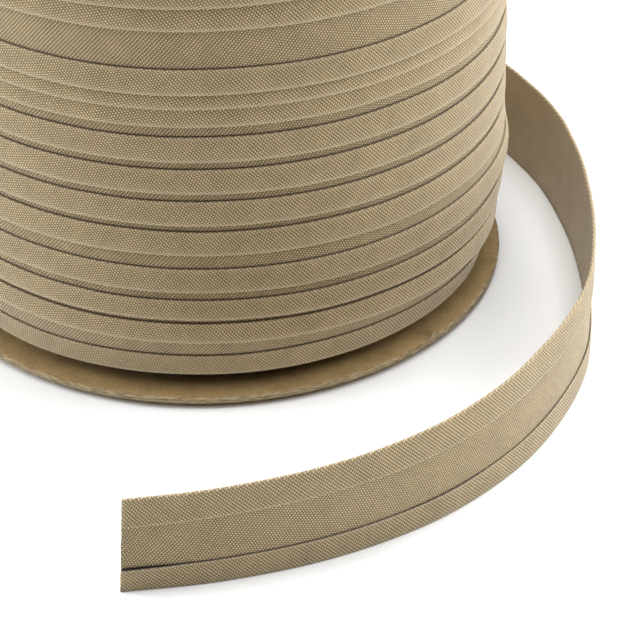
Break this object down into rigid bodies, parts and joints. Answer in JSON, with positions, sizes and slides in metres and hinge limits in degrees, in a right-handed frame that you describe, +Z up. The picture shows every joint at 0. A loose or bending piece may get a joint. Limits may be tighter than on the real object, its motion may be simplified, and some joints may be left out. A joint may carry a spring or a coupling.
{
  "type": "roll of binding tape",
  "caption": "Folded fabric bias binding wound in leaning turns on a flanged card spool, with its loose end bowed out in front on the surface.",
  "frame": {"origin": "on the spool's axis, on the surface the roll stands on", "axes": "+Z up along the spool's axis, -Y towards the front of the bowed loose end, +X to the right"},
  "size_m": [0.1341, 0.1777, 0.108],
  "materials": {
    "tape_cloth": "taupe plain-weave cotton and polyester cloth cut on the bias, matt, with pressed folds",
    "card": "uncoated brown kraft board, matt and slightly fibrous"
  },
  "bodies": {
    "root": {"flange_lower": "card", "flange_upper": "card", "wound_tape": "tape_cloth", "loose_end": "tape_cloth"}
  },
  "joints": []
}
